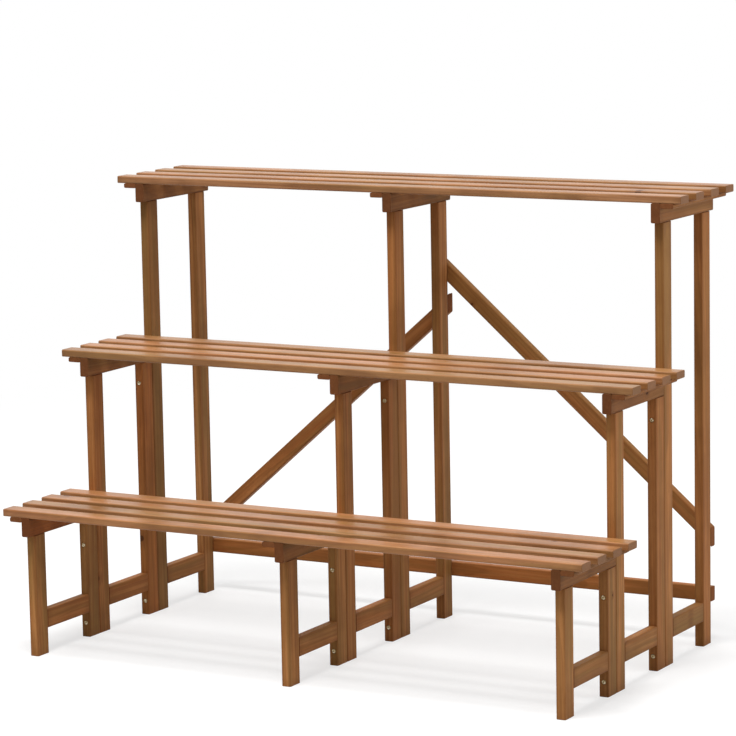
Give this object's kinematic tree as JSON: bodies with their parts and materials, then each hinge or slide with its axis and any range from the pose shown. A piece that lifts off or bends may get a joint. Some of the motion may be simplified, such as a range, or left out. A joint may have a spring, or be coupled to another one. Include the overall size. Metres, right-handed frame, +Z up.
{
  "type": "tiered plant stand",
  "caption": "Free-standing wooden plant stand with slatted shelves rising like stairs, carried by screwed side frames with a rear rail and diagonal back braces.",
  "frame": {"origin": "on the floor, under the middle of the stand's overall box", "axes": "+X along the shelves to the viewer's right, +Y from the lowest shelf to the highest one, +Z up"},
  "size_m": [1.2, 0.663, 0.868],
  "materials": {
    "frame_wood": "red-brown stained softwood, satin, with open grain and small knots",
    "slat_wood": "red-brown stained softwood, satin, a little paler and worn on the upper faces",
    "screw_steel": "yellow zinc-plated steel"
  },
  "bodies": {
    "root": {"centre_low_front_leg": "frame_wood", "centre_low_rail": "frame_wood", "centre_low_rear_leg": "frame_wood", "centre_low_stretcher": "frame_wood", "centre_middle_front_leg": "frame_wood", "centre_middle_rail": "frame_wood", "centre_middle_rear_leg": "frame_wood", "centre_middle_stretcher": "frame_wood", "centre_top_front_leg": "frame_wood", "centre_top_rail": "frame_wood", "centre_top_rear_leg": "frame_wood", "centre_top_stretcher": "frame_wood", "left_brace": "frame_wood", "left_low_front_leg": "frame_wood", "left_low_rail": "frame_wood", "left_low_rear_leg": "frame_wood", "left_low_stretcher": "frame_wood", "left_middle_front_leg": "frame_wood", "left_middle_rail": "frame_wood", "left_middle_rear_leg": "frame_wood", "left_middle_stretcher": "frame_wood", "left_top_front_leg": "frame_wood", "left_top_rail": "frame_wood", "left_top_rear_leg": "frame_wood", "left_top_stretcher": "frame_wood", "leg_screws": "screw_steel", "low_battens": "slat_wood", "low_slat_1": "slat_wood", "low_slat_2": "slat_wood", "low_slat_3": "slat_wood", "low_slat_4": "slat_wood", "middle_battens": "slat_wood", "middle_slat_1": "slat_wood", "middle_slat_2": "slat_wood", "middle_slat_3": "slat_wood", "middle_slat_4": "slat_wood", "rear_rail": "frame_wood", "right_brace": "frame_wood", "right_low_front_leg": "frame_wood", "right_low_rail": "frame_wood", "right_low_rear_leg": "frame_wood", "right_low_stretcher": "frame_wood", "right_middle_front_leg": "frame_wood", "right_middle_rail": "frame_wood", "right_middle_rear_leg": "frame_wood", "right_middle_stretcher": "frame_wood", "right_top_front_leg": "frame_wood", "right_top_rail": "frame_wood", "right_top_rear_leg": "frame_wood", "right_top_stretcher": "frame_wood", "top_battens": "slat_wood", "top_slat_1": "slat_wood", "top_slat_2": "slat_wood", "top_slat_3": "slat_wood", "top_slat_4": "slat_wood"}
  },
  "joints": []
}
